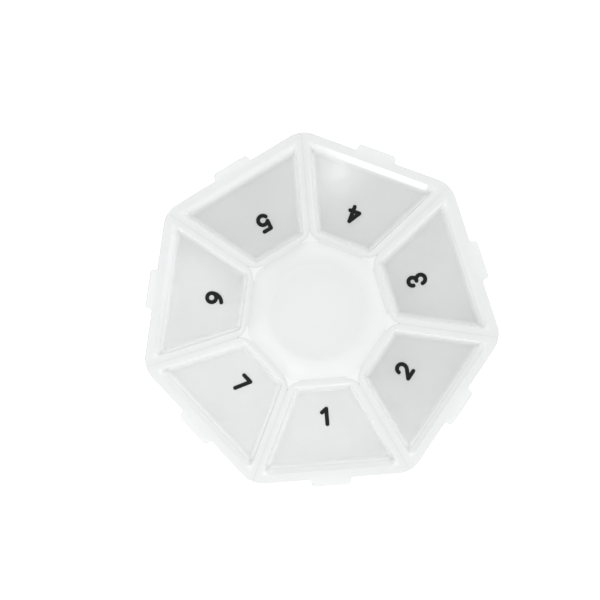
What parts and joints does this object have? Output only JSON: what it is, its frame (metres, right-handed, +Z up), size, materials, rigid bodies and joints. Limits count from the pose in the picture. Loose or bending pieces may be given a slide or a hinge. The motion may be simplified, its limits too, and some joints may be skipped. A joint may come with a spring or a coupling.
{
  "type": "weekly pill box",
  "caption": "Weekly pill box: a flat many-sided tray divided into bays, under a cover whose lids, with sunken windows and finger tabs, bend up on film hinges round a raised hub.",
  "frame": {"origin": "middle of the flat underside that the box stands on", "axes": "+Z up through the hub; day 1 faces -Y and the days go anticlockwise seen from above"},
  "size_m": [0.091, 0.0908, 0.02],
  "materials": {
    "natural_polypropylene": "natural milky polypropylene, glossy, with frosted rims round the windows",
    "black_print": "black pad-printed ink"
  },
  "bodies": {
    "base": {"compartment_tray": "natural_polypropylene", "hub_cap": "natural_polypropylene"},
    "flap_1": {"lid_1": "natural_polypropylene", "hinge_web_1": "natural_polypropylene", "number_1": "black_print"},
    "flap_2": {"lid_2": "natural_polypropylene", "hinge_web_2": "natural_polypropylene", "number_2": "black_print"},
    "flap_3": {"lid_3": "natural_polypropylene", "hinge_web_3": "natural_polypropylene", "number_3": "black_print"},
    "flap_4": {"lid_4": "natural_polypropylene", "hinge_web_4": "natural_polypropylene", "number_4": "black_print"},
    "flap_5": {"lid_5": "natural_polypropylene", "hinge_web_5": "natural_polypropylene", "number_5": "black_print"},
    "flap_6": {"lid_6": "natural_polypropylene", "hinge_web_6": "natural_polypropylene", "number_6": "black_print"},
    "flap_7": {"lid_7": "natural_polypropylene", "hinge_web_7": "natural_polypropylene", "number_7": "black_print"}
  },
  "joints": [
    {"name": "lid_1_hinge", "type": "hinge", "parent": "base", "child": "flap_1", "pos_m": [0, -0.0172, 0.0184], "axis": [-1, 0, 0], "range_deg": [0, 90]},
    {"name": "lid_2_hinge", "type": "hinge", "parent": "base", "child": "flap_2", "pos_m": [0.01345, -0.01072, 0.0184], "axis": [-0.6235, -0.7818, 0], "range_deg": [0, 50]},
    {"name": "lid_3_hinge", "type": "hinge", "parent": "base", "child": "flap_3", "pos_m": [0.01677, 0.00383, 0.0184], "axis": [0.2225, -0.9749, 0], "range_deg": [0, 90]},
    {"name": "lid_4_hinge", "type": "hinge", "parent": "base", "child": "flap_4", "pos_m": [0.00746, 0.0155, 0.0184], "axis": [0.901, -0.4339, 0], "range_deg": [0, 50]},
    {"name": "lid_5_hinge", "type": "hinge", "parent": "base", "child": "flap_5", "pos_m": [-0.00746, 0.0155, 0.0184], "axis": [0.901, 0.4339, 0], "range_deg": [0, 90]},
    {"name": "lid_6_hinge", "type": "hinge", "parent": "base", "child": "flap_6", "pos_m": [-0.01677, 0.00383, 0.0184], "axis": [0.2225, 0.9749, 0], "range_deg": [0, 50]},
    {"name": "lid_7_hinge", "type": "hinge", "parent": "base", "child": "flap_7", "pos_m": [-0.01345, -0.01072, 0.0184], "axis": [-0.6235, 0.7818, 0], "range_deg": [0, 25]}
  ]
}
